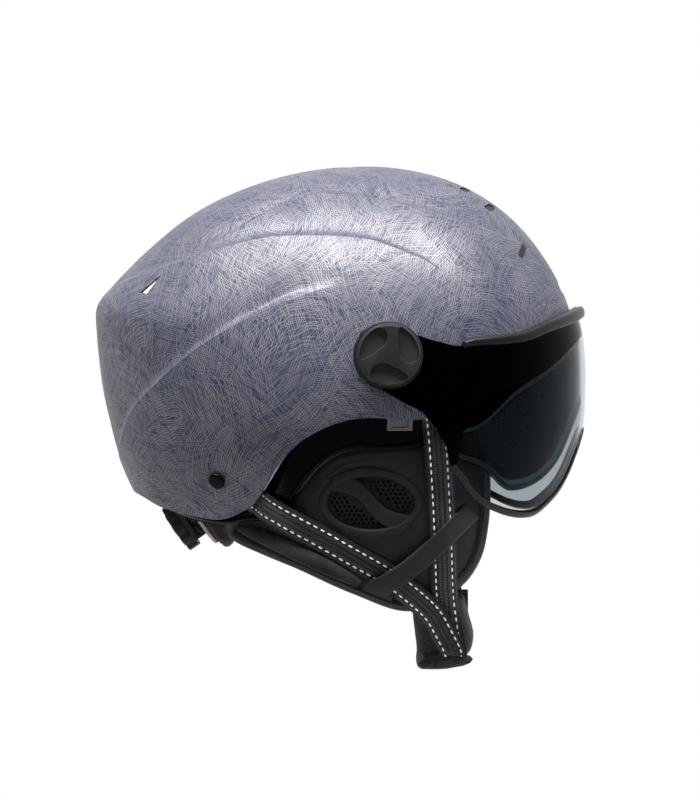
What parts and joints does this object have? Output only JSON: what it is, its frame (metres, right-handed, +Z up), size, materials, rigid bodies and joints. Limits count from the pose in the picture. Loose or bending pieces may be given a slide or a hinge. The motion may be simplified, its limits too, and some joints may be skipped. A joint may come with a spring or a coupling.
{
  "type": "open-face helmet with lift-up visor",
  "caption": "Open-face sport helmet with a lift-up double visor, padded ear pads with a mesh vent, webbing straps with a padded chin strap and a dial-adjusted nape cradle.",
  "frame": {"origin": "middle of the head opening, level with the ears", "axes": "+X forward, +Y to the wearer's left, +Z up"},
  "size_m": [0.2847, 0.2488, 0.2933],
  "materials": {
    "shell_print": "satin clear coat over a dense light hatch print",
    "foam": "fine beaded expanded foam",
    "trim_gloss": "gloss black",
    "grille": "matt black moulding",
    "bush_metal": "turned, dull",
    "washer": "natural acetal",
    "insert_brass": "turned",
    "comfort_cloth": "brushed knit over foam",
    "ear_cover": "soft-touch moulding, fine grain",
    "fleece": "short fleece",
    "binding": "woven edge tape over padding",
    "ribbed_textile": "ribbed knit",
    "webbing": "ribbed black webbing with light reflective stitches",
    "keeper_leather": "smooth",
    "buckle": "fine grain",
    "button_red": "gloss",
    "adjuster": "fine grain",
    "cradle_milky": "milky translucent",
    "visor_smoke": "hard-coated, polished",
    "visor_dark": "polished, dark tint",
    "rubber": "satin",
    "hub": "satin",
    "knob": "satin",
    "screw_steel": "turned",
    "nylon": "natural nylon"
  },
  "bodies": {
    "helmet": {"outer_shell": "shell_print", "foam_liner": "foam", "lower_trim": "trim_gloss", "vent_grilles": "grille", "strap_rivets": "trim_gloss", "pivot_bushes": "bush_metal", "pivot_washers": "washer", "pivot_inserts": "insert_brass", "brow_pad": "comfort_cloth", "crown_pad": "comfort_cloth", "side_pads": "comfort_cloth", "ear_cover_right": "ear_cover", "ear_cover_left": "ear_cover", "ear_mesh_right": "grille", "ear_mesh_left": "grille", "ear_pad_right": "fleece", "ear_pad_left": "fleece", "ear_binding_right": "binding", "ear_binding_left": "binding", "ear_pad_clips": "trim_gloss", "neck_roll_right": "binding", "neck_roll_left": "binding", "nape_band": "ribbed_textile", "strap_front_right": "webbing", "strap_front_left": "webbing", "strap_rear_right": "webbing", "strap_rear_left": "webbing", "keeper_right": "keeper_leather", "keeper_left": "keeper_leather", "strap_anchors": "bush_metal", "buckle_receiver": "buckle", "dial_housing": "adjuster", "nape_cradle": "cradle_milky", "nape_pad": "fleece"},
    "visor": {"visor": "visor_smoke", "inner_lens": "visor_dark", "lens_gasket": "rubber", "visor_seal": "rubber", "visor_edge_trim": "rubber", "visor_hubs": "hub"},
    "knob_right": {"knob_right": "knob", "pivot_screw_right": "screw_steel"},
    "knob_left": {"knob_left": "knob", "pivot_screw_left": "screw_steel"},
    "dial": {"fit_dial": "adjuster", "dial_pinion": "nylon"},
    "band_right": {"band_right": "adjuster"},
    "band_left": {"band_left": "adjuster"},
    "chin": {"chin_strap": "webbing", "chin_pad": "fleece", "buckle_tongue": "buckle"},
    "button": {"release_button": "button_red"}
  },
  "joints": [
    {"name": "visor_lift", "type": "hinge", "parent": "helmet", "child": "visor", "pos_m": [0.026, 0, 0.082], "axis": [0, -1, 0], "range_deg": [0, 50]},
    {"name": "knob_right_turn", "type": "hinge", "parent": "helmet", "child": "knob_right", "pos_m": [0.026, -0.114, 0.082], "axis": [0.1043, -0.9921, 0.0698], "range_deg": [0, 90]},
    {"name": "knob_left_turn", "type": "hinge", "parent": "helmet", "child": "knob_left", "pos_m": [0.026, 0.114, 0.082], "axis": [0.1043, 0.9921, 0.0698], "range_deg": [-90, 0]},
    {"name": "dial_turn", "type": "hinge", "parent": "helmet", "child": "dial", "pos_m": [-0.096, 0, -0.017], "axis": [-0.8192, 0, -0.5736], "range_deg": [-30, 90]},
    {"name": "band_right_slide", "type": "slide", "parent": "helmet", "child": "band_right", "axis": [0, 1, 0], "range_m": [-0.00262, 0.00786]},
    {"name": "band_left_slide", "type": "slide", "parent": "helmet", "child": "band_left", "axis": [0, -1, 0], "range_m": [-0.00262, 0.00786]},
    {"name": "chin_swing", "type": "hinge", "parent": "helmet", "child": "chin", "pos_m": [0.0615, -0.0563, -0.0918], "axis": [-1, 0, 0], "range_deg": [0, 80]},
    {"name": "button_press", "type": "slide", "parent": "helmet", "child": "button", "axis": [0, -0.9945, -0.1045], "range_m": [0, 0.0018], "stiffness_N_per_m": 500, "springref_m": -0.001}
  ],
  "couplings": [
    {"joint": "band_right_slide", "follows": "dial_turn", "m_per_rad": 0.005},
    {"joint": "band_left_slide", "follows": "dial_turn", "m_per_rad": 0.005}
  ]
}
